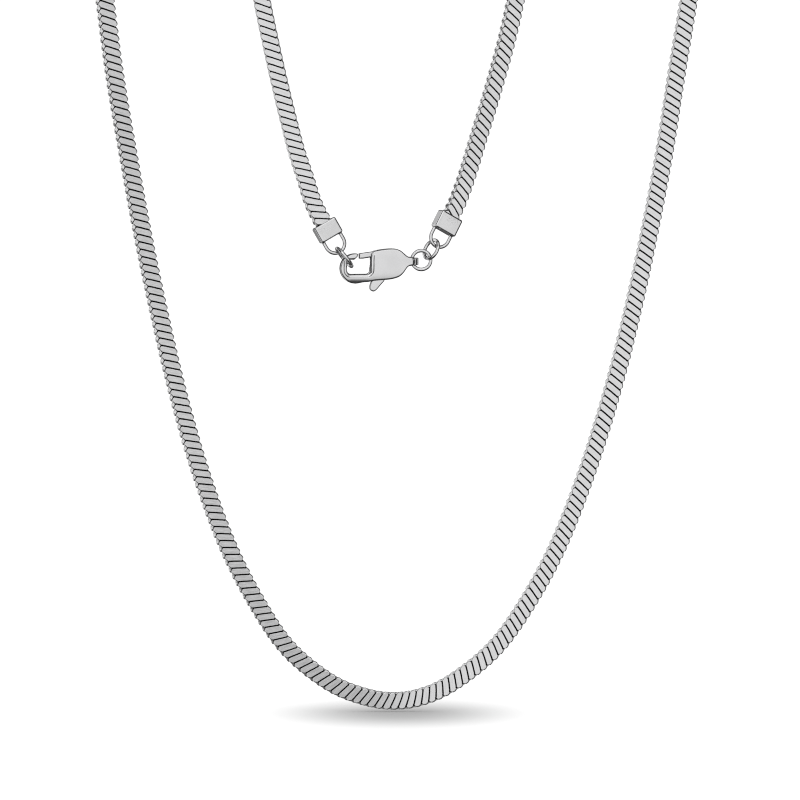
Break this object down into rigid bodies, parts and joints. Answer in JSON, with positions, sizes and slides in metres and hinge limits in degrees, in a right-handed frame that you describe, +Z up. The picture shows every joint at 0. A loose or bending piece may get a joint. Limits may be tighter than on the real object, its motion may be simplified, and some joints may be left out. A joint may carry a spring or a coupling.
{
  "type": "snake chain necklace",
  "caption": "Flat snake chain necklace of fine rings, closed at the back by square end caps, jump rings and a lobster clasp, stored hanging.",
  "frame": {"origin": "midway between the two places where the chain bears on what it hangs over", "axes": "+X to the right as seen from the front, the front strands face -Y, +Z up"},
  "size_m": [0.1148, 0.0313, 0.1565],
  "materials": {
    "chain_steel": "satin stainless steel, finely drawn along each ring, with dark gaps between the rings",
    "polished_steel": "smooth polished stainless steel with softened edges"
  },
  "bodies": {
    "necklace": {"chain_left": "chain_steel", "chain_right": "chain_steel", "end_cap_left": "polished_steel", "end_cap_right": "polished_steel", "hook_ring": "polished_steel", "link_ring": "polished_steel", "tail_ring": "polished_steel", "clasp_body": "polished_steel", "lever_pin": "polished_steel"},
    "lever": {"clasp_lever": "polished_steel"}
  },
  "joints": [
    {"name": "lever_swing", "type": "hinge", "parent": "necklace", "child": "lever", "pos_m": [-0.00222, 0.01352, -0.07137], "axis": [0.1392, -0.9903, 0], "range_deg": [0, 25], "stiffness_Nm_per_rad": 0.01, "springref_deg": -11.46}
  ]
}
